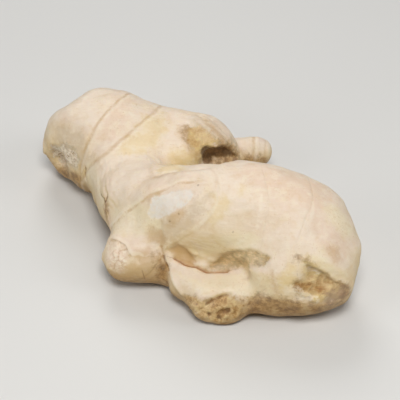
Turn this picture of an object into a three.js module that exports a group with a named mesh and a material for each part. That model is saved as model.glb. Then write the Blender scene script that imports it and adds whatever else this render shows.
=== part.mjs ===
// A piece of ginger root: one grown rhizome of swollen lobes, lying on a table on a few low spots.
// Millimetres, +Z up, +X along the longest side, -Y towards the side that shows best.
// The origin is on the table, under the middle of the piece.
import * as THREE from "three";

// Driving dimensions
const CELL = 2.67; // edge of one facet of the finished surface
const RING_RELIEF = 0.7; // height of the ring that a fallen leaf scale leaves
const RING_WIDTH = 1.9; // half width of that ring
const LUMP_RELIEF = 0.4; // height of the soft unevenness of the skin
const LUMP_LENGTH = 17; // length of one such wave
const TABLE = -0.4; // level of the table under the lobes, which it presses flat where they are lower
const MARGIN = 4; // empty space kept round the piece while it is being surfaced
const SKIN_COLOUR = new THREE.Color(0.82, 0.72, 0.57);

// Every swollen part is an ellipsoid with blunt ends, and its own x runs along its length.
// yaw turns it on the table, in degrees. square is 2 for round ends and more for blunt ones.
// join is the radius of the valley where it has grown onto the lobes listed before it:
// small where it only leans on them, large where the two run into one another.
const LOBES = [
  { name: "front", at: [17.5, -18.3, 25.5], half: [38, 18.5, 20.5], yaw: -13, square: 2.35, join: 5 },
  { name: "shoulder", at: [35, -32.5, 16], half: [22, 17.7, 17.5], yaw: -8, square: 2.3, join: 7 },
  { name: "belly", at: [20, -33, 7], half: [24, 13, 8], yaw: -8, square: 2.3, join: 5 },
  { name: "side eye", at: [53.5, -31, 22], half: [5, 6, 5], yaw: 0, square: 2, join: 2 },
  { name: "middle segment", at: [-15, -6, 20], half: [24, 15, 15], yaw: -30, square: 2.3, join: 10 },
  { name: "neck", at: [-28.5, 13, 15], half: [19, 13, 14], yaw: -72, square: 2.4, join: 6 },
  { name: "rear left", at: [-42.5, 43.5, 18.5], half: [22, 18.3, 19.7], yaw: 138, square: 2.6, join: 5 },
  { name: "rear right", at: [-13, 35, 16.5], half: [28.5, 15, 17.5], yaw: -7, square: 2.6, join: 16 },
  { name: "small eye", at: [-19, 10, 26.5], half: [4, 4, 3.5], yaw: 0, square: 2, join: 2 },
  { name: "finger", at: [18, 41, 13], half: [12, 6, 6], yaw: 0, square: 2.6, join: 2 },
  { name: "knob", at: [-22.5, -21.3, 10.8], half: [14.3, 10.5, 10], yaw: -170, square: 2.15, join: 7 },
  { name: "crook", at: [-9.5, -25.5, 6], half: [6, 5, 7], yaw: 0, square: 2, join: 3 },
  { name: "bud", at: [6.5, -34.5, 9], half: [19, 11, 9], yaw: -14, square: 2.3, join: 1.2 },
  { name: "bud tip", at: [6.2, -42.3, 6], half: [10.6, 8, 7], yaw: 0, square: 2.3, join: 4 },
];

// Where something has broken off or shrunk away. Each of these is pared out of the piece,
// and join rounds the rim that it leaves. turn is yaw, pitch and roll in degrees.
const HOLLOWS = [
  { name: "rear end", at: [-63.9, 60.8, 30.3], half: [12, 30, 30], turn: [140, 38, 0], square: 5, join: 6 },
  { name: "old stem scar", at: [-59.5, 31, 13], half: [5, 8, 7], turn: [-30, 0, 0], square: 2, join: 3 },
  { name: "rear scar", at: [9, 24.5, 18.5], half: [10, 7, 7.5], turn: [0, 0, 0], square: 2, join: 5 },
  { name: "fold", at: [3, -37.5, 18], half: [17.5, 4.5, 3.5], turn: [-8, 0, 0], square: 2, join: 3 },
  { name: "front scar", at: [42, -52.5, 20], half: [12, 6, 10], turn: [10, 0, -30], square: 2, join: 3 },
  { name: "bud scar", at: [9, -51, 9], half: [7, 5, 5], turn: [0, 0, 0], square: 2, join: 3 },
];

// Where a leaf scale once went round a lobe: a slanting plane through the lobe's core.
// facing is the yaw and pitch of its normal in degrees, reach is how far the ring goes from at.
const RINGS = [
  { name: "first rear ring", at: [-37.5, 39.8, 17], facing: [-30, -12], reach: 30 },
  { name: "second rear ring", at: [-33.7, 32.4, 21.3], facing: [-33, -37], reach: 30 },
  { name: "front ring near the neck", at: [-13, -15, 25], facing: [21, -37], reach: 34 },
  { name: "front ring in the middle", at: [15.5, -19, 25], facing: [10, -20], reach: 26 },
  { name: "front ring near the end", at: [26, -25, 22], facing: [0, -33], reach: 32 },
  { name: "ring across the middle segment", at: [-18, -15.5, 31], facing: [88, 0], reach: 20 },
  { name: "knob ring", at: [-24, -24, 10], facing: [52, 15], reach: 15 },
  { name: "inner finger ring", at: [21.6, 41, 13], facing: [-2, 0], reach: 9 },
  { name: "outer finger ring", at: [27, 41, 13], facing: [-2, 0], reach: 9 },
];

const toRadians = THREE.MathUtils.degToRad;

// The matrix that takes a point of the piece into the own frame of a lobe or a hollow.
function ownFrame({ at, yaw, turn = [yaw, 0, 0] }) {
  const [about, up, roll] = turn.map(toRadians);
  const placed = new THREE.Matrix4().makeRotationFromEuler(new THREE.Euler(roll, -up, about, "ZYX"));
  return placed.setPosition(...at).invert();
}

// The unit normal of a ring's plane.
function ringNormal({ facing }) {
  const [yaw, pitch] = facing.map(toRadians);
  return [Math.cos(pitch) * Math.cos(yaw), Math.cos(pitch) * Math.sin(yaw), Math.sin(pitch)];
}

for (const shape of [...LOBES, ...HOLLOWS]) shape.frame = ownFrame(shape);
for (const ring of RINGS) ring.normal = ringNormal(ring);

const own = new THREE.Vector3();

// Distance, near enough, from a point to a blunt ellipsoid: negative inside.
function distanceTo({ frame, half, square }, x, y, z) {
  own.set(x, y, z).applyMatrix4(frame);
  const scaled = [own.x / half[0], own.y / half[1], own.z / half[2]];
  const reach = scaled.reduce((sum, s) => sum + Math.abs(s) ** square, 0) ** (1 / square);
  if (reach === 0) return -Math.min(...half);
  const slope = Math.hypot(...scaled.map((s, i) => (Math.abs(s) / reach) ** (square - 1) / half[i]));
  return (reach - 1) / slope;
}

// The lesser of two distances, rounded over a band of the given radius.
function softMin(a, b, radius) {
  const near = Math.max(radius - Math.abs(a - b), 0) / radius;
  return Math.min(a, b) - (near * near * radius) / 4;
}

// How far the leaf scale rings lift the skin, fading out at the end of their reach.
function ringRelief(x, y, z) {
  let lift = 0;
  for (const { at, normal, reach } of RINGS) {
    const away = [x - at[0], y - at[1], z - at[2]];
    const off = (away[0] * normal[0] + away[1] * normal[1] + away[2] * normal[2]) / RING_WIDTH;
    const fade = 1 - THREE.MathUtils.smoothstep(Math.hypot(...away), 0.7 * reach, reach);
    lift = Math.max(lift, fade * Math.exp(-off * off));
  }
  return RING_RELIEF * lift;
}

// Soft waves that keep the lobes from looking turned or moulded.
function unevenness(x, y, z) {
  const k = (2 * Math.PI) / LUMP_LENGTH;
  const across = Math.sin(k * (x + 0.4 * z)) * Math.sin(k * (0.8 * y - 0.3 * x) + 1);
  const upward = Math.sin(k * (1.3 * z + 0.7 * y) + 2);
  return LUMP_RELIEF * (across + 0.5 * upward);
}

// Distance to the skin of the whole piece: negative inside.
function field(x, y, z) {
  const [first, ...others] = LOBES;
  let distance = distanceTo(first, x, y, z);
  for (const lobe of others) distance = softMin(distance, distanceTo(lobe, x, y, z), lobe.join);
  for (const hollow of HOLLOWS) {
    distance = -softMin(-distance, distanceTo(hollow, x, y, z), hollow.join);
  }
  return distance - ringRelief(x, y, z) - unevenness(x, y, z);
}

// The box that surely holds all lobes, with the margin round it.
function roomForLobes() {
  const room = new THREE.Box3();
  for (const { at, half } of LOBES) {
    const reach = Math.max(...half) + MARGIN;
    room.expandByPoint(new THREE.Vector3(...at).addScalar(reach));
    room.expandByPoint(new THREE.Vector3(...at).subScalar(reach));
  }
  return room;
}

// The corners of a unit cell, numbered by the bits of their x, y and z, and the edges between them.
const CORNERS = [0, 1, 2, 3, 4, 5, 6, 7].map((c) => [c & 1, (c >> 1) & 1, (c >> 2) & 1]);
const EDGES = [0, 1, 2, 3, 4, 5, 6, 7].flatMap((a) =>
  [1, 2, 4].filter((bit) => !(a & bit)).map((bit) => [a, a | bit]),
);

// The mean of the places where the skin crosses a cell's edges, or nothing if it misses the cell.
function crossing(corner) {
  const mean = new THREE.Vector3();
  let cuts = 0;
  for (const [a, b] of EDGES) {
    if (corner[a] < 0 === corner[b] < 0) continue;
    const share = corner[a] / (corner[a] - corner[b]);
    const start = new THREE.Vector3(...CORNERS[a]);
    mean.add(start.lerp(new THREE.Vector3(...CORNERS[b]), share));
    cuts += 1;
  }
  return cuts ? mean.divideScalar(cuts) : undefined;
}

// One point in every cell that the skin passes through, one quad across every edge that it cuts.
function surface(cell) {
  const room = roomForLobes();
  const [nx, ny, nz] = room.getSize(new THREE.Vector3()).toArray().map((s) => Math.ceil(s / cell) + 1);
  const at = (i, j, k) => i + nx * (j + ny * k);
  const values = new Float64Array(nx * ny * nz);
  for (let k = 0; k < nz; k++)
    for (let j = 0; j < ny; j++)
      for (let i = 0; i < nx; i++)
        values[at(i, j, k)] = field(room.min.x + i * cell, room.min.y + j * cell, room.min.z + k * cell);

  const pointOf = new Map();
  const points = [];
  for (let k = 0; k < nz - 1; k++)
    for (let j = 0; j < ny - 1; j++)
      for (let i = 0; i < nx - 1; i++) {
        const point = crossing(CORNERS.map(([a, b, c]) => values[at(i + a, j + b, k + c)]));
        if (!point) continue;
        pointOf.set(at(i, j, k), points.length);
        points.push(point.add(new THREE.Vector3(i, j, k)).multiplyScalar(cell).add(room.min));
      }

  const faces = [];
  const addQuad = (ring, outward) => {
    const [a, b, c, d] = outward ? ring : ring.reverse();
    if (points[a].distanceTo(points[c]) < points[b].distanceTo(points[d])) faces.push(a, b, c, a, c, d);
    else faces.push(b, c, d, b, d, a);
  };
  const p = (i, j, k) => pointOf.get(at(i, j, k));
  for (let k = 1; k < nz - 1; k++)
    for (let j = 1; j < ny - 1; j++)
      for (let i = 1; i < nx - 1; i++) {
        const inside = values[at(i, j, k)] < 0;
        if (inside !== values[at(i + 1, j, k)] < 0)
          addQuad([p(i, j - 1, k - 1), p(i, j, k - 1), p(i, j, k), p(i, j - 1, k)], inside);
        if (inside !== values[at(i, j + 1, k)] < 0)
          addQuad([p(i - 1, j, k - 1), p(i - 1, j, k), p(i, j, k), p(i, j, k - 1)], inside);
        if (inside !== values[at(i, j, k + 1)] < 0)
          addQuad([p(i - 1, j - 1, k), p(i, j - 1, k), p(i, j, k), p(i - 1, j, k)], inside);
      }
  return { points, faces };
}

const { points, faces } = surface(CELL);

// The lobes that reach the table are pressed flat on it.
for (const point of points) point.z = Math.max(point.z, TABLE);

const geometry = new THREE.BufferGeometry();
geometry.setFromPoints(points);
geometry.setIndex(faces);

// The origin goes under the middle of the piece.
geometry.computeBoundingBox();
const middle = geometry.boundingBox.getCenter(new THREE.Vector3());
geometry.translate(-middle.x, -middle.y, -TABLE);
geometry.computeVertexNormals();

const skin = new THREE.MeshStandardMaterial({ color: SKIN_COLOUR, roughness: 0.6, metalness: 0 });
const root = new THREE.Mesh(geometry, skin);
root.name = "ginger_root";

const piece = new THREE.Group();
piece.add(root);
export default piece;
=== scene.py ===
# %% [markdown]
# # A piece of ginger root
# Ginger is a rhizome, a stem that swells under the ground. It grows lobe by lobe, and every lobe is
# belted with the rings that its fallen leaf scales left. The solid of this part already has the lobes,
# the fold above the bud and the hollows of the scars. This lesson gives it a finer skin in the same place,
# carves the small forms into that skin, and paints it with one procedural material.

import math
import random

import bmesh
import bpy
import numpy as np
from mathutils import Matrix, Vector, noise
from mathutils.bvhtree import BVHTree


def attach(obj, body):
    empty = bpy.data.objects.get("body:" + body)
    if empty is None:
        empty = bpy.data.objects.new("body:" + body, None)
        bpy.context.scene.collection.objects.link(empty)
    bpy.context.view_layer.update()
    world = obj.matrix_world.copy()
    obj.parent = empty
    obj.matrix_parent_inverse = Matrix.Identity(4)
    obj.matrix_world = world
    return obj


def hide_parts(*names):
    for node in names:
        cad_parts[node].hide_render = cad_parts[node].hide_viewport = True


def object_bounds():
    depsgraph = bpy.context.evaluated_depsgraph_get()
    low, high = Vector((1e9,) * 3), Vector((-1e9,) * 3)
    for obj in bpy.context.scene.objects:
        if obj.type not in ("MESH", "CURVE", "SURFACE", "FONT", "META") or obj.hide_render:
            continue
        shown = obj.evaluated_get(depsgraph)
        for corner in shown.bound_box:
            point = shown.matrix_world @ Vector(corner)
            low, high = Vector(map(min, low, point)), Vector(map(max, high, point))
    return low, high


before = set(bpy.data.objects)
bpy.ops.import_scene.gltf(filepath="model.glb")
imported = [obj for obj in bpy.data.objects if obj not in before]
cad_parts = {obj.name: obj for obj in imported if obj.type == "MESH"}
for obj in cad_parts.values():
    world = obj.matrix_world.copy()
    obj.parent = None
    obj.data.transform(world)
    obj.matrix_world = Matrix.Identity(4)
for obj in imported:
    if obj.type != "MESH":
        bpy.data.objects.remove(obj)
MM = 0.001
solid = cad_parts["ginger_root"]
solid_low, solid_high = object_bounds()
print("the solid measures", [round(v / MM, 1) for v in solid_high - solid_low], "mm")

# %% [markdown]
# ## The camera
# The photograph was taken with a long lens from about 38 degrees above the table. The camera comes first,
# because the small forms are placed along its lines of sight: a spot that is named by its place in the
# photograph, in pixels of a 400 by 400 frame, is carried along that line until it meets the skin.

# %% Set up the camera
LOBES_TO_FRAME = np.array([3.018, -7.336, 0.4])  # from the lobes' own origin to the part's, in mm
PHOTO_SIDE = 400
VIEW_ELEVATION = math.radians(38)
VIEW_DISTANCE = 480 * MM
AIM_HEIGHT = 20  # mm above the lobes' own origin
VIEW_TARGET = Vector(LOBES_TO_FRAME + np.array([0, 0, AIM_HEIGHT])) * MM
LENS, SENSOR = 113.7, 36.0
CLIP_NEAR, CLIP_FAR = 10 * MM, 20

back = Vector((0, -math.cos(VIEW_ELEVATION), math.sin(VIEW_ELEVATION)))
camera = bpy.data.objects.new("camera", bpy.data.cameras.new("camera"))
camera.data.lens = LENS
camera.data.sensor_width = SENSOR
camera.data.clip_start, camera.data.clip_end = CLIP_NEAR, CLIP_FAR
camera.location = VIEW_TARGET + back * VIEW_DISTANCE
camera.rotation_mode = "QUATERNION"
camera.rotation_quaternion = (-back).to_track_quat("-Z", "Y")
bpy.context.scene.collection.objects.link(camera)
bpy.context.scene.camera = camera


def line_of_sight(spot):
    """The direction from the camera through a spot of the photograph."""
    across, down = (value / PHOTO_SIDE - 0.5 for value in spot)
    on_film = Vector((across, -down, 0)) * SENSOR / LENS
    return camera.rotation_quaternion @ (on_film + Vector((0, 0, -1))).normalized()


print("the camera stands at", [round(v / MM) for v in camera.location], "mm")

# %% [markdown]
# ## A finer skin
# The solid's facets are almost 3 mm wide, too coarse for a close look. A copy of its mesh is welded, joined
# into quads, relaxed a little so that the facets melt away, and subdivided twice. The relaxing goes one step
# in and one step out, which smooths without shrinking.

# %% Copy, relax and subdivide
WELD = 0.001 * MM
JOIN_ANGLE = math.radians(60)
RELAX_ROUNDS = 3
RELAX_IN, RELAX_OUT = 0.5, -0.53
SUBDIVISIONS = 2


def fine_copy(rough, name):
    """A smooth, finely divided copy of a mesh, as a new object in the same place."""
    work = bmesh.new()
    work.from_mesh(rough.data)
    bmesh.ops.remove_doubles(work, verts=work.verts, dist=WELD)
    bmesh.ops.join_triangles(
        work, faces=work.faces, angle_face_threshold=JOIN_ANGLE, angle_shape_threshold=JOIN_ANGLE
    )
    for step in [RELAX_IN, RELAX_OUT] * RELAX_ROUNDS:
        bmesh.ops.smooth_vert(
            work, verts=work.verts, factor=step, use_axis_x=True, use_axis_y=True, use_axis_z=True
        )
    mesh = bpy.data.meshes.new(name)
    work.to_mesh(mesh)
    work.free()
    cage = bpy.data.objects.new(name, mesh)
    bpy.context.scene.collection.objects.link(cage)
    cage.modifiers.new("round", "SUBSURF").levels = SUBDIVISIONS
    cage.data = bpy.data.meshes.new_from_object(
        cage.evaluated_get(bpy.context.evaluated_depsgraph_get())
    )
    cage.modifiers.clear()
    return cage


skin = fine_copy(solid, "ginger_skin")
skin.data.shade_smooth()
print("the skin has", len(skin.data.polygons), "faces")

# %% [markdown]
# ## Tools for carving
# A sculpting brush could carve the small forms. Here each of them moves all points of the skin at once,
# nearly always along their normals, by amounts worked out in arrays. The amounts come from three kinds of
# measure: how far a point is from a trail or an outline on the skin, how far it is from the slanting plane
# of a growth ring, and smooth noise for what is irregular.

# %% Points, normals and moves
points = np.empty((len(skin.data.vertices), 3))
normals = np.empty_like(points)


def read_skin():
    """Reads the places and the normals of all points."""
    flat = np.empty(points.size, np.float32)
    skin.data.vertices.foreach_get("co", flat)
    points[:] = flat.reshape(-1, 3)
    skin.data.vertex_normals.foreach_get("vector", flat)
    normals[:] = flat.reshape(-1, 3)


def move(steps):
    """Moves every point by its own step, never out of the solid's box, and renews the normals."""
    points[:] = np.clip(points + steps, solid_low, solid_high)
    skin.data.vertices.foreach_set("co", points.astype(np.float32).ravel())
    skin.data.update()
    read_skin()


def push(millimetres):
    """Moves every point along its normal by its own amount."""
    move(normals * np.asarray(millimetres)[:, None] * MM)


edges = np.empty(len(skin.data.edges) * 2, np.int64)
skin.data.edges.foreach_get("vertices", edges)
EDGE_ENDS = edges.reshape(-1, 2).T
VALENCE = np.bincount(edges, minlength=len(points))


def surroundings(places):
    """For each point, the middle of the points that it shares an edge with."""
    first, second = EDGE_ENDS
    total = [
        np.bincount(first, places[second, axis], len(places))
        + np.bincount(second, places[first, axis], len(places))
        for axis in range(3)
    ]
    return np.transpose(total / VALENCE)


read_skin()
sight_tree = BVHTree.FromPolygons(
    [tuple(p) for p in points], [tuple(f.vertices) for f in skin.data.polygons]
)
edge_lengths = np.linalg.norm(points[EDGE_ENDS[0]] - points[EDGE_ENDS[1]], axis=1)
print("an edge of the skin is about", round(edge_lengths.mean() / MM, 2), "mm long")

# %% [markdown]
# ## Trails and outlines
# A trail is a line of close points on the skin. All measures are in millimetres and signed: for an open
# trail the left-hand side is positive, and for an outline the inside is negative, so that the paint can
# later put a crisp, soft or ragged edge on it.

# %% Spots and trails
TRAIL_STEP = 3  # pixels between two lines of sight along a trail
PHOTO_MIDDLE = (200, 215)
INWARD_STEPS, INWARD_SHARE = 12, 0.015  # how a spot just off the root is walked to the photograph's middle
FAR_OUT = 300 * MM  # well outside the root, where lines from a side start


def on_skin(spot):
    """Where the line of sight through a spot of the photograph, or just inside it, meets the skin."""
    for _ in range(INWARD_STEPS):
        place = sight_tree.ray_cast(camera.location, line_of_sight(spot))[0]
        if place is not None:
            return np.array(place) / MM
        spot = [s + (middle - s) * INWARD_SHARE for s, middle in zip(spot, PHOTO_MIDDLE)]
    raise ValueError(f"the line of sight through {spot} misses the skin")


def from_side(azimuth, across, level):
    """Where a level line from a side, counted from the camera's, meets the skin: for hidden places."""
    turn = math.radians(azimuth)
    outward = Vector((math.sin(turn), -math.cos(turn), 0))
    right = Vector((math.cos(turn), math.sin(turn), 0))
    start = outward * FAR_OUT + right * across * MM + Vector((0, 0, level * MM))
    place = sight_tree.ray_cast(start, -outward)[0]
    if place is None:
        raise ValueError(f"the line from side {azimuth} at {across}, {level} misses the skin")
    return np.array(place) / MM


def trail(*spots):
    """A line of close points on the skin, through the given spots of the photograph."""
    line = [on_skin(spots[0])]
    for start, end in zip(spots, spots[1:]):
        steps = max(1, round(math.dist(start, end) / TRAIL_STEP))
        for step in range(1, steps + 1):
            share = step / steps
            line.append(on_skin([a + (b - a) * share for a, b in zip(start, end)]))
    return np.array(line)


# %% [markdown]
# ## What the camera sees
# An outline from the photograph may only mark what the photograph shows, and not a lobe hidden behind it.
# So every point gets its spot in the photograph, and a ray from the camera tells whether it is in sight.

# %% Find what the camera sees
GRAZE = 0.8 * MM  # how much nearer than a point a ray may stop and still have met it


def seen_spots():
    """The spot of the photograph that shows each point, and whether the point is in plain sight."""
    eye = camera.location
    local = (points - np.array(eye)) @ np.array(camera.rotation_quaternion.to_matrix())
    spots = (local[:, :2] * (1, -1) / -local[:, 2:] * LENS / SENSOR + 0.5) * PHOTO_SIDE
    seen = []
    for point in points:
        ray = Vector(point) - eye
        hit = sight_tree.ray_cast(eye, ray)[3]
        seen.append(hit is None or hit > ray.length - GRAZE)
    return spots, np.array(seen)


point_spots, in_sight = seen_spots()
print("the camera sees", np.count_nonzero(in_sight), "of", len(points), "points")

# %% [markdown]
# ## Distances on the skin
# A painted mask only tells inside from outside. A distance tells more: one measure can carve a groove, raise
# a rim beside it and later stain both, each with its own width. So all shapes are kept as distances.

# %% Distances
NEARBY = 8  # mm round a trail within which its distance is worked out exactly
TINY = 1e-6  # mm2, so that a step of no length divides by something


def away_from(place):
    """Distance in mm from a place that is given in mm."""
    return np.linalg.norm(points / MM - place, axis=1)


def off_trail(line):
    """Signed distance from a trail in mm: positive on its left-hand side, seen from outside."""
    middle = line.mean(axis=0)
    signed = away_from(middle) - np.linalg.norm(line - middle, axis=1).max()
    near = np.flatnonzero(signed < NEARBY)
    here, facing = points[near] / MM, normals[near]
    nearest = np.full(len(near), np.inf)
    for start, end in zip(line, line[1:]):
        run = end - start
        share = np.clip((here - start) @ run / max(run @ run, TINY), 0, 1)
        away = here - start - share[:, None] * run
        distance = np.linalg.norm(away, axis=1)
        side = np.where(np.einsum("ij,ij->i", np.cross(facing, run), away) < 0, -1, 1)
        closer = distance < nearest
        nearest[closer] = distance[closer]
        signed[near[closer]] = (distance * side)[closer]
    return signed


def off_nearest(lines):
    """Distance in mm from the nearest of several trails, on either side."""
    return np.min([np.abs(off_trail(line)) for line in lines], axis=0)


# %% Outlines, strokes and dots
def enclosed(corners):
    """Whether each point lies, in the photograph, inside a closed outline and in plain sight."""
    inside_it = np.zeros(len(points), bool)
    across, down = point_spots.T
    for (x0, y0), (x1, y1) in zip(corners, (*corners[1:], corners[0])):
        if y0 != y1:
            level = (y0 > down) != (y1 > down)
            inside_it ^= level & (across < (x1 - x0) * (down - y0) / (y1 - y0) + x0)
    return inside_it & in_sight


def outline(*spots):
    """Signed distance in mm from a closed outline on the skin: negative inside."""
    off = np.abs(off_trail(trail(*spots, spots[0])))
    return np.where(enclosed(spots), -off, off)


def stroke(reach, *spots):
    """Signed distance in mm from a brush stroke of the given reach: negative inside."""
    return np.abs(off_trail(trail(*spots))) - reach


def dot(reach, *spots):
    """Signed distance in mm from the nearest of several round dots: negative inside."""
    return np.min([away_from(on_skin(spot)) for spot in spots], axis=0) - reach


def together(*shapes):
    """The union of several shapes."""
    return np.min(shapes, axis=0)


def tell(name, shape):
    """Prints how much of the skin a shape covers."""
    print(f"{name}: {np.count_nonzero(shape < 0)} points")


# %% [markdown]
# ## Soft shapes and noise
# Nothing on a root has a machined edge. A bell makes a groove or a ridge out of a distance, a ramp makes a
# step, and noise breaks both up. Streaks are noise drawn out along a direction.

# %% Soft shapes and noise
NOISE_SHIFT = (7.3, 3.1, 5.7)  # how far one seed lies from the next in the noise
FRAY = 3  # mm, the size of the noise that makes an edge ragged


def bell(distance, width):
    """1 on a line and falling to nothing a few widths away."""
    return np.exp(-((distance / width) ** 2))


def ramp(value, start, end):
    """0 before start, 1 after end, and a smooth step between them."""
    share = np.clip((value - start) / (end - start), 0, 1)
    return share * share * (3 - 2 * share)


def noise_at(places, size, seed, octaves):
    """Smooth noise of the given size in mm at every place, from about -1 to 1."""
    shift = Vector([seed * far for far in NOISE_SHIFT])
    scale = 1 / (size * MM)
    return np.array([noise.fractal(Vector(p) * scale + shift, 1.0, 2.0, octaves) for p in places])


def grain(size, seed, octaves=3):
    """Smooth noise of the given size in mm at every point of the skin."""
    return noise_at(points, size, seed, octaves)


def streaks(size, length, along, seed, octaves=3):
    """Noise drawn out into streaks of the given length in mm, along a direction."""
    axis = np.array(along) / np.linalg.norm(along)
    squeezed = points + np.outer(points @ axis, axis) * (size / length - 1)
    return noise_at(squeezed, size, seed, octaves)


def inside(shape, soft=1.0, ragged=0.0, seed=0):
    """1 inside a shape and 0 outside it, over a soft and if wished ragged edge."""
    off = shape + ragged * grain(FRAY, seed) if ragged else shape
    return 1 - ramp(off, -soft, soft)


# %% [markdown]
# ## Uneven lobes
# No lobe of a root is a clean ellipsoid: it has dull facets and shallow dents. A Displace modifier could
# give them. Noise of three sizes does the same here, and the steps that follow can measure the result.

# %% Uneven lobes
unevenness = 0.5 * grain(16, 1, 2) + 0.22 * grain(6, 24, 2) + 0.08 * grain(2.5, 2, 2)
push(unevenness)
print("the lobes are uneven by up to", round(np.abs(unevenness).max(), 2), "mm")

# %% [markdown]
# ## The crest of the front lobe
# The front lobe stands out sharply before the rear one, because its skin falls away right behind the crest.
# The solid's saddle is shallower there. The points behind the crest move straight down, with a short step
# and a long soft return: a push along the normals would leave ridges that show from the side.

# %% Drop the skin behind the front lobe's crest
CREST = trail((152, 177.5), (165, 174), (185, 170), (203, 166.5), (222, 162.5), (238, 160))
CREST_DROP, CREST_DROP_RIGHT = 2.6, 4.2  # mm at the left and the right end
CREST_STEP = 2.4  # mm behind the crest over which the skin falls
RETURN_START, RETURN_END = 2, 17  # mm behind the crest between which it comes back
DEEPER_START, DEEPER_END = -1.6, 0.4  # along the crest, in halves of its length from its middle
FADE_START, FADE_END = 0.5, 1.3  # away from its middle, in the same halves

crest_off = off_trail(CREST)
crest_run = CREST[-1] - CREST[0]
crest_half = np.linalg.norm(crest_run) / 2
crest_middle = CREST.mean(axis=0)
from_crest = points / MM - crest_middle
rightward = ramp(from_crest @ crest_run / crest_half**2, DEEPER_START, DEEPER_END)
drop = CREST_DROP + (CREST_DROP_RIGHT - CREST_DROP) * rightward
drop = drop * ramp(crest_off, 0, CREST_STEP) * (1 - ramp(crest_off, RETURN_START, RETURN_END))
drop = drop * (1 - ramp(away_from(crest_middle), FADE_START * crest_half, FADE_END * crest_half))
move(np.outer(-drop * MM, (0, 0, 1)))
print("behind the crest the skin drops by", round(drop.max(), 1), "mm")

# %% [markdown]
# ## Growth rings
# The rings are where leaf scales were attached. Each one is a slanting plane through its lobe, the same
# plane as the solid's soft ridge, so it runs right round the lobe. On the skin a ring is a fine step that
# wanders a little. Where the photograph hardly shows a ring, the solid's ridge is melted into the lobe.

# %% Rings
RINGS = {
    "first rear ring": {"at": (-37.5, 39.8, 17), "facing": (-30, -12), "reach": 30, "strength": 0.55},
    "second rear ring": {"at": (-33.7, 32.4, 21.3), "facing": (-33, -37), "reach": 30, "strength": 0.5},
    "front ring near the neck": {"at": (-13, -15, 25), "facing": (21, -37), "reach": 34, "strength": 0.15},
    "front ring in the middle": {"at": (15.5, -19, 25), "facing": (10, -20), "reach": 26, "strength": 0.05},
    "front ring near the end": {"at": (26, -25, 22), "facing": (0, -33), "reach": 32, "strength": 0.05},
    "inner finger ring": {"at": (21.6, 41, 13), "facing": (-2, 0), "reach": 9, "strength": 0.5},
    "outer finger ring": {"at": (27, 41, 13), "facing": (-2, 0), "reach": 9, "strength": 0.3},
}
FAR = 20  # mm, where a ring doesn't reach
FADE_SHARE = 0.85  # of its reach, where a ring starts to fade
RING_WANDER = 0.7  # mm
MELT_WIDTH = 3.0  # mm on both sides of a ring
MELT_ROUNDS = 25  # rounds of smoothing that melt a faint ring's ridge into the lobe


def off_ring(at, facing, reach):
    """Signed distance in mm from a ring's plane, at least FAR where the ring doesn't reach."""
    yaw, pitch = (math.radians(angle) for angle in facing)
    normal = [math.cos(pitch) * math.cos(yaw), math.cos(pitch) * math.sin(yaw), math.sin(pitch)]
    away = points / MM - np.array(at) - LOBES_TO_FRAME
    off = away @ normal
    beyond = ramp(np.linalg.norm(away, axis=1), FADE_SHARE * reach, reach)
    return np.copysign(np.maximum(np.abs(off), beyond * FAR), off)


def nearest_of(offs):
    """Which of several lines is nearest to each point, and the signed distance from it."""
    stack = np.array(offs)
    pick = np.argmin(np.abs(stack), axis=0)
    return pick, stack[pick, np.arange(stack.shape[1])]


ring_offs = [off_ring(ring["at"], ring["facing"], ring["reach"]) for ring in RINGS.values()]
ring_pick, plain_ring = nearest_of(ring_offs)
ring_strength = np.array([ring["strength"] for ring in RINGS.values()])[ring_pick]
ring_off = plain_ring + RING_WANDER * grain(9, 3)
melt = ((1 - ring_strength) * bell(plain_ring, MELT_WIDTH))[:, None]
melted = points.copy()
for _ in range(MELT_ROUNDS):
    melted += melt * (surroundings(melted) - melted)
move(melted - points)
push(ring_strength * (0.15 * bell(ring_off - 1.2, 1.2) - 0.3 * bell(ring_off, 0.8)))
print("rings:", ", ".join(RINGS))

# %% [markdown]
# ## The fold and the bud
# In front the lobe hangs over a bud that broke through below it. The overhang ends in a sharp crease, with
# a tan-brown pocket at its left end, partly painted shade, and a rough shaded band along its underside. A
# ridge runs down the bud's left side. The bud's tip has broken off and left corky grooves and holes.

# %% Carve the fold
CREVICE = trail((175, 259), (186, 263), (196, 266), (201, 269), (207, 271), (216, 271), (226, 270))
BAND_FOOT = trail((226, 270), (239, 268), (252, 267), (264, 266))
LIP = trail((190, 251), (197, 255), (205, 259), (215, 261), (224, 262))
BAND_TOP = trail((224, 253), (232, 251), (242, 250), (250, 250), (257, 254), (268, 257))
SEAM = trail((161, 224), (161, 236), (161, 250), (164, 260), (168, 270))
BUD_RIDGE = trail((165, 257), (169, 268), (174, 282), (181, 293))

pocket = outline((167, 251), (177, 245), (187, 250), (196, 262), (188, 264), (176, 257))
under_fold = outline(
    (222, 256), (232, 252), (250, 251), (262, 254), (269, 258), (263, 265),
    (240, 266), (224, 268), (207, 268)
)
yellow_dent = stroke(2.5, (202, 248), (216, 247))
crevice_off = off_trail(CREVICE)
lumps = grain(2.2, 10, 3)

push(-1.1 * inside(pocket, 1.4) - 1.4 * inside(under_fold, 1.6, 0.5, 11))
push((0.4 + 0.5 * lumps) * bell(off_trail(LIP), 0.9) + 0.12 * lumps * inside(under_fold, 1.0))
creases = 1.4 * bell(crevice_off, 0.7) + 0.7 * bell(off_trail(BAND_FOOT), 1.5)
push(0.3 * bell(off_trail(BAND_TOP), 0.8) - creases)
push(0.5 * bell(off_trail(BUD_RIDGE), 1.1) - 0.35 * bell(off_trail(SEAM), 0.9))
tell("the fold's pocket", pocket)
tell("the band under the fold", under_fold)

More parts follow.
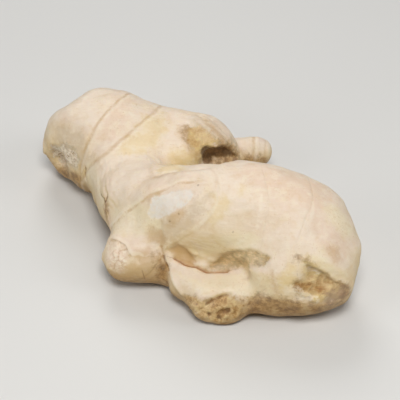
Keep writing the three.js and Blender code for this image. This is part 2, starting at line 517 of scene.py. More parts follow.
# %% Carve the bud's broken tip
GROOVE = trail((207, 304), (217, 299), (230, 294))
SMALL_GROOVE = trail((187, 299), (197, 304))
VALLEY = trail((252, 302), (262, 293), (268, 282))
bud_scar = outline(
    (184, 297), (196, 296), (206, 301), (216, 300), (231, 293), (238, 299),
    (246, 306), (240, 315), (228, 322), (213, 323), (199, 317), (189, 308)
)
# The holes are carved here and later painted dark as their shade.
bud_holes = dot(1.0, (209, 315), (228, 311), (219, 318))
bud_crumbs = inside(bud_scar, 1.5, 1.5, 12)
push(bud_crumbs * (0.3 * lumps + 0.6 * streaks(2.2, 9, (1, 0, 1), 23)) - 0.7 * inside(bud_holes, 0.8))
push(-0.8 * bell(off_trail(GROOVE), 0.9) - 0.5 * bell(off_trail(SMALL_GROOVE), 0.8))
push(-0.4 * bell(off_trail(VALLEY), 1.6))
tell("the bud's broken tip", bud_scar)

# %% [markdown]
# ## Scars
# Where a stem or a branch came away the root has healed with cork: a crumbly brown floor inside a ragged
# rim. The grain of the floor is carved with noise of two sizes, so it catches the light as real crumbs do.

# %% Outline the scars
old_stem_scar = outline((52, 146), (62, 145), (74, 150), (79, 160), (76, 168), (66, 162), (55, 156))
front_scar = outline(
    (305, 262), (311, 266), (318, 270), (331, 279), (343, 285), (345, 291), (338, 298),
    (320, 303), (304, 298), (296, 290), (297, 283), (305, 279), (306, 270)
)
rear_scar = outline(
    (185, 129), (197, 123), (208, 131), (221, 140), (214, 148), (204, 151), (196, 157), (188, 146)
)
# The hollow under the rear lobe's end is carved here and later painted dark earth brown as its shade.
shaded_hollow = together(
    outline((203, 151), (213, 148), (222, 147), (232, 152), (238, 157), (224, 158), (203, 158)),
    stroke(2.2, (206, 151), (208, 159)),
)
knob_tip = outline((112, 240), (124, 246), (127, 258), (124, 272), (114, 272), (106, 262), (106, 248))
tell("the old stem scar", old_stem_scar)
tell("the front scar", front_scar)
tell("the rear scar", rear_scar)

# %% Carve the scars
SCAR_STRIP = trail((296, 289), (304, 295), (316, 300))
SCAR_LINES = [trail((298, 260), (298, 271), (299, 283)), trail((303, 262), (303, 273), (304, 282))]
SPIRAL = (310, 284)
LEDGE = trail((306, 262), (312, 267), (321, 271), (332, 280), (344, 286))

crumbs = grain(1.8, 13, 4)
fine_crumbs = grain(0.9, 14, 2)
for scar, depth, rough in [(old_stem_scar, 0.3, 0.3), (front_scar, 0.5, 0.32), (rear_scar, 0.25, 0.3)]:
    scar_floor = inside(scar, 1.5, 1.6, 15)
    push(scar_floor * (rough * crumbs + 0.12 * fine_crumbs - depth) + 0.1 * bell(scar - 1.2, 0.8))
push(-0.9 * inside(shaded_hollow, 1.2, 1.0, 16) * (1 + 0.4 * crumbs))
ledge_off = off_trail(LEDGE)
push(-0.3 * (1 - ramp(ledge_off, -0.6, 0.6)) * ramp(ledge_off, -6, -1) * inside(front_scar, 2.0))
push(0.35 * bell(ledge_off - 0.8, 0.8) + 0.5 * inside(front_scar, 1.5) * streaks(1.5, 8, (0.3, 0.1, 1), 29))
spiral_off = dot(0, SPIRAL)
spiral = 0.45 * bell(spiral_off - 1.4, 0.45) + 0.3 * bell(spiral_off, 0.5)
push(0.7 * bell(off_trail(SCAR_STRIP), 1.0) + spiral)
push(0.12 * bell(off_nearest(SCAR_LINES), 0.6))

# %% [markdown]
# ## Wrinkles, layers and the small eye
# The neck is thin and has wrinkled along its length. At the end of the rear lobe the old scales are peeled
# back in layers round the hollow. Streaks of noise that run the right way make both. A small eye with a few
# crumbs sits by the saddle, where the front lobe begins.

# %% Carve the neck and the layers
NECK = trail((104, 172), (103, 182), (104, 194), (108, 206))
NECK_CREASES = [
    trail((100, 194), (102, 198), (104, 202)),
    trail((107, 194), (106, 198), (104, 203)),
    trail((103, 198), (104, 204), (106, 211), (108, 217)),
]
LAYERS = trail((203, 116), (214, 126), (226, 138), (236, 152))
EYE_CREASES = [trail((148, 165), (149, 173), (153, 177), (162, 176.5)), trail((157, 170), (158, 176))]
EYE_TOP = (155, 165)
EYE_BUMPS = [(151, 161), (159, 162), (153, 170), (161, 171), (166, 168)]

neck = inside(np.abs(off_trail(NECK)) - 5, 4)
push(0.45 * neck * streaks(1.6, 14, NECK[-1] - NECK[0], 17))
layers = inside(np.abs(off_trail(LAYERS)) - 3.0, 2.5)
push(0.6 * layers * streaks(1.4, 16, LAYERS[-1] - LAYERS[0], 18))
push(0.5 * bell(dot(0, EYE_TOP), 2.0) + 0.6 * bell(dot(0, *EYE_BUMPS), 0.9))

# %% [markdown]
# ## Eyes and cork on the hidden sides
# An eye is a dull bump with a crescent fold below it, where a bud could break through, and cork closes a
# small wound. The back is hidden, so a few are guessed there, where level lines from the sides meet the
# skin. Noise keeps their edges from being circles.

# %% Carve eyes and patches on the hidden sides
EYES = [from_side(180, -38, 20), from_side(172, 30, 24), from_side(100, 20, 15), from_side(-95, -30, 14)]
PATCHES = [from_side(180, 34, 13), from_side(75, -22, 12), from_side(-70, 12, 12), from_side(150, 10, 22)]
EYE_RADIUS, PATCH_RADIUS = 2.6, 3.6
LID_DEPTH = 2  # mm from an eye's middle down to the middle of its lid

eye_off = together(*(away_from(place) for place in EYES)) - EYE_RADIUS + 0.8 * grain(4, 27)
patch_off = together(*(away_from(place) for place in PATCHES)) - PATCH_RADIUS + 2.6 * grain(6, 28)
lid_off = together(*(away_from(place - (0, 0, LID_DEPTH)) for place in EYES))
eye_lid = np.abs(eye_off) + 1.5 * ramp(lid_off, 0.9 * EYE_RADIUS, 1.5 * EYE_RADIUS)
push(1.1 * inside(eye_off, 2.6) - 0.4 * bell(eye_lid, 0.7))
push(inside(patch_off, 1.0) * (0.3 * grain(1.8, 13, 4) - 0.3) + 0.15 * bell(patch_off - 1.0, 0.8))
tell("cork on the hidden sides", patch_off)

# %% [markdown]
# ## Steps and fine cracks
# The edges of dried scales stand up by a fifth of a millimetre, and old creases have opened into cracks. A
# step is a ramp that comes back slowly behind its trail, so that only the edge catches the light.

# %% Carve the steps and the fine cracks
SCALE_EDGE = trail(
    (112, 228), (122, 216), (129, 210), (139, 203), (150, 195), (165, 189), (180, 183), (194, 181)
)
KNOB_EDGE = trail((112, 239), (118, 241), (125, 245), (128, 252), (132, 256), (139, 256))
FOLD_SIDE = trail((161, 246), (164, 258), (169, 271))
NECK_SIDE = trail((85, 168), (84, 174), (86, 180))

scale_off = off_trail(SCALE_EDGE) + 0.4 * grain(4, 19)
knob_off = off_trail(KNOB_EDGE) + 0.25 * grain(3, 20)
for off, rise in [(scale_off, 0.2), (knob_off, 0.14)]:
    push(rise * ramp(off, -0.9, 0.9) * (1 - ramp(off, 1, 6)) - 0.3 * rise * bell(off + 0.5, 0.6))
crack_off = off_nearest([*NECK_CREASES, FOLD_SIDE, NECK_SIDE])
push(-0.6 * bell(crack_off, 0.55) - 0.4 * bell(off_nearest(EYE_CREASES), 0.6))
push(inside(knob_tip, 1.5) * (0.2 * crumbs + 0.3 * grain(4, 21)))

# %% [markdown]
# ## The white patch, the end bump and the dark dots
# On the middle segment a strip of skin is rubbed off, and the flesh under it has dried chalky white. Its
# floor is a little lower, with a crisp edge. The front lobe's end has a dull bump, and a few pinholes are
# dots for the paint alone.

# %% Scrape the white patch, raise the end bump and place the dark dots
END_BUMP = (353, 251)
DARK_DOTS = [(198, 185), (170, 221), (233, 232), (126, 153), (179, 214)]

push(0.7 * bell(dot(0, END_BUMP), 3.5))
white_patch = outline(
    (148, 213), (153, 197), (172, 191), (190, 189), (195, 194), (182, 208), (161, 218), (151, 218)
)
scraped = inside(white_patch, 0.4, 0.6, 22)
push(-0.25 * scraped + 0.06 * scraped * crumbs)
tell("the white patch", white_patch)

# %% [markdown]
# ## Root scars
# Roots once grew from the low sides. Each left a small round mark: a low rim round a dimple. The marks are
# thrown at the skin from seeded directions, mostly from behind and below. Those that land in plain sight are
# left out, because the photograph shows hardly any there.

# %% Scatter root scars
ROOT_SCARS = 60
SCAR_SEED = 7
SCAR_SIZES = 0.7, 1.5  # mm from the dimple's middle to its rim
TURNS = -2.2, 2.2  # radians from straight behind
RISES = -1.6, 0.8, -0.8  # the lowest, the highest and the commonest rise of a throw
draw = random.Random(SCAR_SEED)
wobble = 0.8 * grain(2.2, 26, 2)
marks = np.zeros(len(points))
root_off = np.full(len(points), float(FAR))
for _ in range(ROOT_SCARS):
    turn, rise = draw.triangular(*TURNS), draw.triangular(*RISES)
    away = Vector((math.sin(turn), math.cos(turn), rise)).normalized()
    aim = Vector(draw.uniform(low, high) for low, high in zip(solid_low, solid_high))
    size = draw.uniform(*SCAR_SIZES)
    place = sight_tree.ray_cast(aim + away * FAR_OUT, -away)[0]
    if place is None:
        continue
    off = away_from(np.array(place) / MM)
    if in_sight[off.argmin()]:
        continue
    off += wobble
    marks += 0.7 * bell(off - size, 0.5 * size) - 1.0 * bell(off, 0.7 * size)
    root_off = np.minimum(root_off, off - size)
push(0.2 * marks)
tell("the root scars", root_off)

# %% [markdown]
# ## Measures for the paint
# The material needs to know where the scars, rings and creases are. Each measure is stored on the mesh as
# one number per point, in millimetres, and the shader draws edges and fine lines from them. That keeps a
# line sharp even where it is thinner than a face.

# %% Outline the yellow, rosy and grey washes
yellow = together(
    outline((147, 116), (163, 112), (166, 128), (158, 146), (140, 152), (118, 154), (130, 136)),
    outline((214, 196), (231, 197), (228, 212), (216, 222), (206, 222), (209, 210)),
    yellow_dent,
    dot(1.2, (241, 189)),
    stroke(4, (164, 166), (184, 160), (198, 155)),
    outline((284, 270), (296, 264), (296, 284), (284, 292), (276, 284)),
    stroke(2.5, (306, 264), (322, 272)),
    outline((168, 148), (186, 146), (198, 156), (186, 158), (166, 160)),
)
rose = together(
    dot(1.4, (130, 100)),
    stroke(6, (255, 172), (318, 190)),
    stroke(5, (318, 205), (336, 245)),
    stroke(3, (112, 224), (126, 218)),
    stroke(4, (120, 108), (110, 130)),
    stroke(3, (92, 172), (98, 196)),
    stroke(2, (328, 302), (342, 292)),
)
ash = together(
    outline((198, 196), (211, 192), (208, 210), (192, 226), (174, 240), (168, 232), (184, 214)),
    stroke(4, (62, 138), (78, 142), (86, 160)),
    stroke(3.5, (168, 226), (160, 240)),
    outline((216, 149), (226, 147), (233, 153), (236, 160), (218, 162)),
    stroke(4, (200, 120), (218, 132), (232, 147)),
)

# %% Outline the brown and tan washes, partly painted shade
# The brown wash is partly brown skin and soil and partly painted shade: the shadow under the finger, the
# shade below the rear hollow, the seam between knob and bud and the neck's crease.
brown = together(
    outline((250, 301), (262, 296), (282, 298), (304, 303), (322, 306), (316, 312), (284, 315), (252, 313)),
    stroke(2.6, (318, 303), (344, 292)),
    stroke(2.0, (252, 303), (284, 306)),
    stroke(2.2, (213, 317), (226, 318), (239, 311)),
    stroke(1.6, (160, 258), (163, 268), (164, 278)),
    stroke(1.2, (106, 206), (108, 218)),
    stroke(1.5, (250, 160), (268, 161)),
    stroke(2.6, (210, 157), (222, 157), (236, 158)),
    stroke(2.0, (60, 170), (76, 178)),
    stroke(1.2, (187, 130), (196, 144), (206, 148)),
    stroke(1.0, (206, 147), (222, 145), (236, 156)),
    stroke(0.3, (299, 259), (306, 259)),
    stroke(0.5, (324, 276), (333, 282), (343, 288)),
    stroke(1.2, (297, 285), (306, 288), (318, 289)),
)
# The tan wash is partly tan skin and partly painted shade: on the knob's lower side and in the valley beside
# the bud.
tan = together(
    stroke(2.5, (152, 234), (160, 238)),
    stroke(1.6, (150, 197), (158, 193)),
    stroke(1.8, (170, 222), (180, 213)),
    stroke(3.0, (184, 130), (196, 152)),
    stroke(2.0, (334, 250), (336, 256)),
    outline((136, 250), (150, 246), (162, 256), (168, 278), (150, 282), (140, 274)),
    stroke(2.5, (224, 300), (250, 308)),
    stroke(3.6, (118, 272), (136, 271), (152, 276)),
    stroke(1.2, (206, 122), (220, 136), (232, 150)),
    stroke(1.2, (241, 151), (246, 156)),
    stroke(1.0, (150, 175), (162, 175), (180, 170), (200, 166)),
    stroke(0.8, (271, 272), (274, 282), (278, 294)),
)

# %% Outline the pale washes, partly painted light, and the shades of the cork
# The fair wash is partly pale skin, as on the bud, and partly painted light that brightens the shaded neck,
# the middle segment, the valley beside the bud and the slope above the fold.
fair = together(
    outline((176, 274), (200, 280), (232, 274), (256, 274), (256, 290), (244, 300), (226, 292), (200, 294)),
    outline((322, 250), (330, 262), (344, 276), (336, 276), (322, 268), (312, 258)),
    stroke(3, (226, 240), (252, 242)),
    stroke(3, (258, 284), (264, 293)),
    stroke(3, (128, 214), (142, 212)),
    stroke(5, (118, 222), (150, 222)),
    stroke(4, (90, 172), (100, 200)),
    stroke(1.2, (154, 163), (157, 164)),
    stroke(4, (334, 214), (346, 226)),
    stroke(2.5, (200, 247), (214, 247)),
    stroke(3, (94, 184), (100, 200)),
)
mauve = stroke(2.2, (330, 299), (341, 292))
cork_shade = (
    0.1 * inside(stroke(2.5, (306, 265), (318, 271)), 1.5)
    + 0.08 * inside(stroke(1.5, (306, 296), (320, 300), (336, 296)), 1.5)
    - 0.1 * inside(stroke(1.5, (294, 287), (308, 286), (322, 289)), 1.5)
    - 0.04 * inside(stroke(2.5, (330, 281), (342, 290)), 1.5)
)

# %% Store the measures
FINE_CRACKS = [
    KNOB_EDGE,
    *EYE_CREASES,
    trail((207, 122), (218, 133), (228, 143), (236, 152)),
    trail((214, 122), (226, 135), (236, 148), (241, 156)),
    trail((139, 257), (142, 270), (145, 280)),
    trail((298, 264), (297, 273), (298, 282)),
    trail((221, 145), (231, 152), (239, 160)),
]
# Pale lines are partly the pale rings of the front lobe and partly painted highlights on the bud's ridge and
# the scar's strip.
HIGHLIGHT_AND_PALE_LINES = [
    BUD_RIDGE,
    trail((219, 186), (216, 205), (208, 217), (193, 231)),
    trail((261, 195), (261, 208), (257, 228)),
    trail((309, 192), (313, 202), (313, 212), (309, 224)),
]
HOLLOW_ROUNDS = 12  # rounds of smoothing that give the average of a point's surroundings


def hollowness():
    """How far each point lies below the average of its surroundings, in mm."""
    mean = points.copy()
    for _ in range(HOLLOW_ROUNDS):
        mean = surroundings(mean)
    return np.einsum("ij,ij->i", mean - points, normals) / MM


MEASURES = {
    "ring": ring_off,
    "ring_strength": ring_strength,
    "scale": nearest_of([scale_off, knob_off])[1],
    "crack": crack_off,
    "crevice": crevice_off,
    "hollow": hollowness(),
    "cork": together(front_scar, rear_scar + 0.6, patch_off),
    "cork_shade": cork_shade,
    "fine_crack": together(off_nearest(FINE_CRACKS), eye_lid, dot(0.25, *DARK_DOTS)),
    "pocket": pocket,
    "fair": fair,
    "broken": bud_scar,
    "dark": together(shaded_hollow, bud_holes + 0.4),
    "chalk": white_patch,
    "flaky": old_stem_scar,
    "crazed": knob_tip,
    "root_scar": root_off,
    "yellow": yellow,
    "rose": rose,
    "ash": ash,
    "brown": brown,
    "mauve": mauve,
    "band": under_fold,
    "tan": tan,
    "pale_line": together(off_nearest(HIGHLIGHT_AND_PALE_LINES), off_nearest([SCAR_STRIP]) - 0.7),
}
for name, values in MEASURES.items():
    attribute = skin.data.attributes.new(name, "FLOAT", "POINT")
    attribute.data.foreach_set("value", np.asarray(values, np.float32))
print("stored", ", ".join(MEASURES))

# %% [markdown]
# ## Shader sums
# A shader is written here as ordinary sums. A Signal wraps one socket, so that 1 - mask * 2 adds the Math
# nodes by itself, and every other node comes from one method that sets the node up and plugs it in.


# %% The signal
class Signal:
    """A number, colour or vector that a shader node gives, ready for use in sums."""

    def __init__(self, finish, socket):
        self.finish = finish
        self.socket = socket

    def sum(self, operation, first, second=0.0):
        """A Math node on two values."""
        return self.finish.node("Math", {"operation": operation}, {0: first, 1: second})

    def __add__(self, other):
        return self.sum("ADD", self, other)

    def __sub__(self, other):
        return self.sum("SUBTRACT", self, other)

    def __rsub__(self, other):
        return self.sum("SUBTRACT", other, self)

    def __mul__(self, other):
        return self.sum("MULTIPLY", self, other)

    __radd__ = __add__
    __rmul__ = __mul__

    def __abs__(self):
        return self.sum("ABSOLUTE", self)

    def step(self, start, end):
        """0 before start, 1 after end, and a smooth step between them."""
        return self.finish.node(
            "MapRange",
            {"interpolation_type": "SMOOTHSTEP"},
            {"Value": self, "From Min": start, "From Max": end},
            "Result",
        )

    def line(self, width, soft):
        """1 within a width of zero, and fading to 0 over the soft edge."""
        return 1 - abs(self).step(width, width + soft)


# %% The finish
RAGGED_SPAN = 10  # mm by which a whole swing of the noise moves an edge of raggedness 1


class Finish:
    """A material under construction, on a ground of one colour."""

    def __init__(self, name, ground):
        self.colour = ground
        self.material = bpy.data.materials.new(name)
        self.material.use_nodes = True
        self.tree = self.material.node_tree
        self.shader = self.tree.nodes["Principled BSDF"]
        self.place = self.node("TexCoord", {}, {}, "Object")

    def plug(self, value, socket):
        """Sets a socket to a plain value, or links a signal to it."""
        if isinstance(value, Signal):
            self.tree.links.new(value.socket, socket)
        else:
            socket.default_value = value

    def set_stops(self, elements, stops):
        """Gives a colour ramp its stops, each a position and a colour."""
        while len(elements) < len(stops):
            elements.new(1.0)
        for element, (position, tone) in zip(elements, stops):
            element.position = position
            element.color = tone

    def node(self, kind, settings, sockets, output=0):
        """Adds one node: first its settings, then its sockets, and gives the chosen output."""
        made = self.tree.nodes.new("ShaderNode" + kind)
        for name, value in settings.items():
            if name == "stops":
                self.set_stops(made.color_ramp.elements, value)
            else:
                setattr(made, name, value)
        for name, value in sockets.items():
            self.plug(value, made.inputs[name])
        return Signal(self, made.outputs[output])

    def noise(self, size, detail=3.0, roughness=0.55, stretch=(1, 1, 1)):
        """Smooth noise from 0 to 1 with blots of the given size in mm, stretched if wished."""
        scaled = tuple(1 / (size * MM * s) for s in stretch)
        place = self.node("VectorMath", {"operation": "MULTIPLY"}, {0: self.place, 1: scaled})
        sockets = {"Vector": place, "Scale": 1.0, "Detail": detail, "Roughness": roughness}
        return self.node("TexNoise", {}, sockets, "Fac")

    def measure(self, name):
        """A measure that is stored on the mesh."""
        return self.node("Attribute", {"attribute_name": name}, {}, "Fac")

    def within(self, name, soft, ragged, wobble):
        """1 inside a stored outline and 0 outside it, with the given softness and raggedness in mm."""
        return (self.measure(name) + (wobble - 0.5) * (RAGGED_SPAN * ragged)).step(soft, -soft)

    def tones(self, value, stops):
        """The colours of a ramp, picked by a value from 0 to 1."""
        return self.node("ValToRGB", {"stops": stops}, {"Fac": value}, "Color")

    def mix(self, under, over, share):
        """Lays one colour over another by the given share."""
        settings = {"data_type": "RGBA", "clamp_factor": True}
        return self.node("Mix", settings, {0: share, 6: under, 7: over}, 2)

    def coat(self, tone, share):
        """Lays a tone over the colours so far by the given share."""
        self.colour = self.mix(self.colour, tone, share)

    def shade(self, inputs):
        """Plugs values or signals into the material's Principled shader."""
        for name, value in inputs.items():
            self.plug(value, self.shader.inputs[name])


def paint(red, green, blue):
    """A colour given as it looks on a screen, from 0 to 255, turned into light."""
    return (*((value / 255) ** 2.2 for value in (red, green, blue)), 1.0)


# %% [markdown]
# ## The skin's material
# Fresh ginger has a thin papery skin with a satin sheen: pinkish cream where it is dry and clean, straw
# yellow where the flesh shows through, ochre and brown on cork. Ochre and brown in creases, hollows and on
# the low sides are partly soil and partly painted shade, and some shaded sides and ridges get painted light.
# The colour is built in layers from the widest to the finest: broad washes, mottling, fibres, then rings,
# cracks, cork and chalk.

# %% Colours
CREAM = paint(229, 211, 190)
ROSE = paint(222, 194, 170)
STRAW = paint(221, 195, 134)
LEMON = paint(224, 198, 128)
ASH = paint(204, 184, 156)
OCHRE = paint(184, 142, 82)
BARK = paint(126, 88, 46)
EARTH = paint(150, 116, 78)
SOIL = paint(76, 54, 34)
CHALK = paint(228, 220, 208)
PALE = paint(240, 228, 207)
FAIR = paint(238, 226, 192)
TAN = paint(208, 176, 124)
OLIVE = paint(166, 144, 100)
RUST = paint(152, 104, 62)
MAUVE = paint(150, 126, 108)
UMBER = paint(144, 106, 56)

# %% Noises that all layers share
finish = Finish("ginger_skin", CREAM)
broad = finish.noise(20, 2)
patchy = finish.noise(7, 3)
mottle = finish.noise(3.5, 5, 0.6)
torn = finish.noise(4, 8, 0.75)
crumb = finish.noise(1.5, 6, 0.7)
speck = finish.noise(0.8, 3, 0.7)
fibre = finish.noise(1.2, 4, 0.6, stretch=(5, 1, 1))
striae = finish.noise(1.4, 6, 0.7, stretch=(4.5, 4.5, 0.8))
upward = finish.node("SeparateXYZ", {}, {0: finish.node("NewGeometry", {}, {}, "Normal")}, "Z")
height = finish.node("SeparateXYZ", {}, {0: finish.place}, "Z")
hollow = finish.measure("hollow")

# %% Washes and mottling
WASHES = [
    ("yellow", LEMON, 2.0, 1.0, 0.4),
    ("rose", ROSE, 3.0, 1.2, 0.55),
    ("ash", ASH, 1.6, 0.8, 0.5),
    # The fair wash holds painted light on shaded sides as well as pale skin.
    ("fair", FAIR, 2.0, 0.9, 0.5),
]
finish.coat(ROSE, broad.step(0.45, 0.65) * 0.3)
# The sides that turn away from up get straw yellow: partly the skin's own tint and partly painted shade.
finish.coat(STRAW, (1 - upward.step(-0.1, 0.8)) * 0.66 + patchy.step(0.5, 0.7) * 0.2)
for name, tone, soft, ragged, share in WASHES:
    finish.coat(tone, finish.within(name, soft, ragged, mottle) * share)
finish.coat(PALE, mottle.step(0.48, 0.66) * 0.3)
finish.coat(TAN, (1 - mottle).step(0.52, 0.7) * 0.24)
finish.coat(OCHRE, speck.step(0.56, 0.72) * patchy.step(0.4, 0.65) * 0.42)
finish.coat(PALE, fibre.step(0.54, 0.7) * 0.22)
finish.coat(TAN, (1 - fibre).step(0.54, 0.7) * patchy * 0.35)

# %% [markdown]
# ## Dirt, stains and painted shade
# Soil clings to the root scars, and rough spots have dried brown. The low sides that face down, the hollows
# and the creases and gaps between parts are painted darker as well, partly as soil and partly as painted
# shade. Where it stays is worked out from the normal and the height, and torn noise breaks it up into crumbs
# and runs.

# %% Dirt and painted shade below, in hollows and in creases, and root scars
LOW_START, LOW_END = 16, 6  # mm above the table between which the dirt and the painted shade thicken
LOW_WANDER = 20  # mm by which a whole swing of the noise moves that height
EARTHY = [(0.32, SOIL), (0.42, BARK), (0.49, OCHRE), (0.56, TAN), (0.64, STRAW), (0.72, PALE)]
underside_dirt_and_shade = 1 - upward.step(-0.6, 0.4)
low = (height * (1 / MM) + (striae - 0.5) * LOW_WANDER).step(LOW_START, LOW_END) * underside_dirt_and_shade
earthy = finish.tones(torn * 0.7 + striae * 0.3 - 0.02, EARTHY)
# Down-facing and low sides get ochre and umber: partly soil, partly painted shade near the table.
finish.coat(OCHRE, underside_dirt_and_shade * (striae.step(0.4, 0.6) * 0.3 + 0.15))
finish.coat(UMBER, low * 0.75)
finish.coat(earthy, low * striae.step(0.35, 0.6) * 0.5)
# Ochre over the tan wash: tan marks and painted shade.
finish.coat(OCHRE, finish.within("tan", 1.6, 0.9, torn) * 0.4)
# Brown stains and painted shade, from the brown wash.
brown_and_shade_mask = finish.within("brown", 2.2, 1.1, torn)
brown_and_shade_tones = finish.tones(torn * 0.75 + striae * 0.25 - 0.03, EARTHY)
finish.coat(UMBER, brown_and_shade_mask * 0.6)
finish.coat(brown_and_shade_tones, brown_and_shade_mask * 0.55)
# Ochre in the hollows: partly dirt, partly painted shade.
finish.coat(OCHRE, hollow.step(0.1, 0.5) * (0.2 + crumb * 0.8))
root_scar = finish.measure("root_scar")
finish.coat(OCHRE, root_scar.step(0.5, -0.3) * torn.step(0.38, 0.56) * 0.55)
finish.coat(BARK, root_scar.step(-0.4, -0.9) * crumb.step(0.4, 0.6) * 0.4)

# %% [markdown]
# ## Lines and bands
# The band under the fold is olive and rough, and its dark tones are partly painted shade under the overhang.
# A rusty line of painted shade marks the crevice. Rings, scale edges and creases are less than a millimetre
# wide. The shader draws each one from its stored distance: a painted highlight on the raised side, and brown
# in the groove, partly the line's own colour and partly painted shade.

# %% The shaded band and the crevice of the fold
OLIVE_TONES = [(0.34, BARK), (0.44, OLIVE), (0.55, TAN), (0.68, PALE)]
# Painted shade: the band under the overhang is laid in dark olive tones, over its rough skin.
shaded_band_mask = finish.within("band", 1.0, 0.6, torn)
finish.coat(finish.tones(torn * 0.6 + fibre * 0.4, OLIVE_TONES), shaded_band_mask * 0.68)
# The pocket's ochre and tan are partly its colour and partly painted shade in the recess.
finish.coat(finish.mix(OCHRE, TAN, mottle), finish.within("pocket", 1.5, 0.6, torn) * 0.68)
# Painted shade: a thin rusty line in the crevice under the overhang.
crevice_shade_line = finish.measure("crevice").line(0.05, 0.5)
finish.coat(RUST, crevice_shade_line * 0.8)

# %% Rings, edges and creases
ring = finish.measure("ring")
ring_strength = finish.measure("ring_strength")
# Painted highlight on the raised side of each ring, and an ochre line in its groove, partly the ring's
# colour and partly painted shade.
finish.coat(PALE, (ring - 1.0).line(0.3, 1.1) * ring_strength * 0.4)
finish.coat(OCHRE, ring.line(0.1, 1.0) * ring_strength * (torn.step(0.35, 0.6) * 0.7 + 0.2))
scale = finish.measure("scale")
# Painted highlight along the raised side of the scale and knob edges, and ochre below it, partly their
# colour and partly painted shade.
finish.coat(PALE, (scale - 0.9).line(0.2, 0.9) * 0.35)
finish.coat(OCHRE, (scale + 0.3).line(0.1, 0.8) * (torn.step(0.42, 0.6) * 0.4))
crack_line = finish.measure("crack").line(0.2, 0.5)
finish.coat(BARK, crack_line * crumb.step(0.35, 0.5) * 0.85)

# %% [markdown]
# ## Scars
# Cork closes a wound: it is tan to brown, dry and crumbly. The broken bud tip is darker, the old stem scar
# has pale flakes, the scraped strip is chalky, and the knob's tip is crazed like dry mud. Each mask comes
# from a stored outline, and the noise that gives the tones also shapes the bumps.

# %% Cork and the broken tip
CORKY = [(0.34, RUST), (0.42, OCHRE), (0.50, TAN), (0.58, STRAW), (0.67, PALE)]
cork_mask = finish.within("cork", 1.6, 1.0, torn)
broken_mask = finish.within("broken", 1.0, 0.8, torn)
corky = torn * 0.4 + striae * 0.35 + crumb * 0.15 + finish.measure("cork_shade") + 0.07
finish.coat(finish.tones(corky, CORKY), cork_mask * 0.8)
finish.coat(finish.tones(crumb * 0.5 + torn * 0.5 + 0.03, EARTHY), broken_mask * 0.8)
# Painted shade: bark brown in the hollows of the cork and the broken tip.
finish.coat(BARK, (cork_mask * 0.2 + broken_mask * 0.8) * hollow.step(0.05, 0.35))
# Painted highlights on ridges, and pale ring lines.
finish.coat(PALE, finish.measure("pale_line").line(0.2, 0.9) * torn.step(0.38, 0.55) * 0.4)
fine_line = finish.measure("fine_crack").line(0.05, 0.35)
finish.coat(BARK, fine_line * torn.step(0.4, 0.55) * 0.55)
finish.coat(MAUVE, finish.within("mauve", 1.6, 0.9, torn) * 0.6)
# Painted shade: dark earth and soil tones in the hollow under the rear lobe's end and in the bud's holes.
hollow_shade_mask = finish.within("dark", 0.8, 0.7, torn)
finish.coat(finish.mix(EARTH, SOIL, torn.step(0.38, 0.54) * 0.85), hollow_shade_mask * 0.85)

# %% Flakes and chalk
flaky_mask = finish.within("flaky", 1.2, 1.2, crumb)
flaky = finish.mix(finish.mix(ASH, EARTH, crumb.step(0.48, 0.56)), PALE, speck.step(0.38, 0.54) * 0.85)
finish.coat(flaky, flaky_mask * 0.85)
chalk_mask = finish.within("chalk", 0.5, 0.5, torn)
chalky = 0.35 + crumb.step(0.35, 0.6) * 0.35 + mottle.step(0.35, 0.6) * 0.3
finish.coat(CHALK, chalk_mask * chalky)

# %% Crazing
CELL_SCALE = (1 / (3 * MM),) * 3  # cells of the crazing are about 3 mm wide
cell = finish.node("VectorMath", {"operation": "MULTIPLY"}, {0: finish.place, 1: CELL_SCALE})
swirl = finish.node("TexNoise", {}, {"Vector": cell, "Scale": 1.5, "Detail": 4.0}, "Color")
swirl = finish.node("VectorMath", {"operation": "MULTIPLY"}, {0: swirl, 1: (1.2,) * 3})
cell = finish.node("VectorMath", {"operation": "ADD"}, {0: cell, 1: swirl})
cell_edge = finish.node("TexVoronoi", {"feature": "DISTANCE_TO_EDGE"}, {"Vector": cell, "Scale": 1.0}, 0)
crazed_mask = finish.within("crazed", 1.5, 0.6, mottle)
crazing = crazed_mask * (1 - cell_edge.step(0.0, 0.08)) * torn.step(0.42, 0.56)
finish.coat(finish.mix(ROSE, PALE, crumb.step(0.4, 0.6)), crazed_mask * 0.5)
finish.coat(OCHRE, crazing * 0.45)

# %% [markdown]
# ## Sheen, relief and glow
# The papery skin has a satin sheen, and cork and chalk are dull. A Bump node adds the relief that is finer
# than the mesh. A little light enters the flesh and comes out redder, which softens the shadows.

# %% Sheen, relief and glow
SKIN_ROUGHNESS = 0.52
RELIEF_STRENGTH, RELIEF_DEPTH = 0.6, 0.4 * MM
GLOW, GLOW_DEPTH, GLOW_TINT = 0.1, 2 * MM, (1.0, 0.6, 0.3)
rough = SKIN_ROUGHNESS + mottle * 0.12 + cork_mask * 0.3 + chalk_mask * 0.25 + hollow_shade_mask * 0.3
wrinkle = finish.noise(1.1, 5, 0.6)
rough_mask = cork_mask + broken_mask + flaky_mask + low * 0.5 + shaded_band_mask * 0.5
relief = wrinkle * 0.5 + mottle * 0.9 + fibre * 0.6 + rough_mask * (crumb * 1.6 + torn * 1.6)
relief = relief - crazing * 0.5 - crack_line * 0.5 - ring.line(0.1, 0.4) * 0.3
bumps = {"Height": relief, "Strength": RELIEF_STRENGTH, "Distance": RELIEF_DEPTH}
bump = finish.node("Bump", {}, bumps, "Normal")
finish.shade({"Base Color": finish.colour, "Roughness": rough, "Normal": bump})
finish.shade({"Subsurface Weight": GLOW, "Subsurface Radius": GLOW_TINT, "Subsurface Scale": GLOW_DEPTH})
skin.data.materials.clear()
skin.data.materials.append(finish.material)
print("the finish has", len(finish.tree.nodes), "nodes")

# %% [markdown]
# ## Floor and light
# The root lies on a plain pale floor in soft studio light: one broad lamp high in front, weaker ones
# at the sides and behind, and a pale room all round. Low sides stay dim, as they do in the photograph.

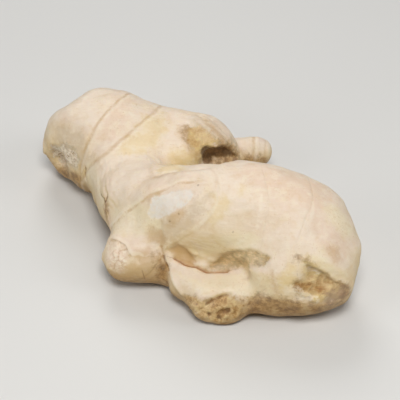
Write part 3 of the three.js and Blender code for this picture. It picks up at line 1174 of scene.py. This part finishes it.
# %% Floor
FLOOR_SIDE = 4.0
FLOOR_DROP = 0.05 * MM
FLOOR_TONE, FLOOR_ROUGHNESS = paint(216, 215, 212), 0.8
floor_mesh = bpy.data.meshes.new("floor")
half = FLOOR_SIDE / 2
corners = [(-half, -half), (half, -half), (half, half), (-half, half)]
floor_mesh.from_pydata([(x, y, -FLOOR_DROP) for x, y in corners], [], [(0, 1, 2, 3)])
floor = bpy.data.objects.new("floor", floor_mesh)
bpy.context.scene.collection.objects.link(floor)
floor_finish = Finish("pale_floor", FLOOR_TONE)
floor_finish.shade({"Base Color": floor_finish.colour, "Roughness": FLOOR_ROUGHNESS})
floor_mesh.materials.append(floor_finish.material)
print("the floor is", FLOOR_SIDE, "m wide")


# %% Lamps
def soft_lamp(name, place, side, watts, tint=(1, 1, 1)):
    """A square lamp that faces the root from the given place, in metres."""
    light = bpy.data.lights.new(name, "AREA")
    light.size = side
    light.energy = watts
    light.color = tint
    lamp = bpy.data.objects.new(name, light)
    lamp.location = Vector(place)
    lamp.rotation_euler = (VIEW_TARGET - lamp.location).to_track_quat("-Z", "Y").to_euler()
    bpy.context.scene.collection.objects.link(lamp)


soft_lamp("key", (0.03, -0.42, 0.72), 0.3, 4.4, (1, 0.995, 0.985))
soft_lamp("left fill", (-0.6, -0.35, 0.35), 0.4, 1.15)
soft_lamp("right fill", (0.65, -0.15, 0.5), 0.4, 1.2)
soft_lamp("back light", (-0.1, 0.6, 0.6), 0.4, 2.6)
print("the lamps give", round(sum(light.energy for light in bpy.data.lights), 1), "W")

# %% Room
ROOM_TONE, ROOM_STRENGTH = (1.0, 0.99, 0.97, 1), 0.08
room = bpy.data.worlds.new("room")
room.use_nodes = True
walls = room.node_tree.nodes["Background"]
walls.inputs["Color"].default_value = ROOM_TONE
walls.inputs["Strength"].default_value = ROOM_STRENGTH
bpy.context.scene.world = room
bpy.context.scene.view_settings.view_transform = "Standard"

# %% [markdown]
# ## Hand over
# The skin rides on the part's one body and stands for the solid, which is then not shown.

# %% Finish
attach(skin, "root")
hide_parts("ginger_root")
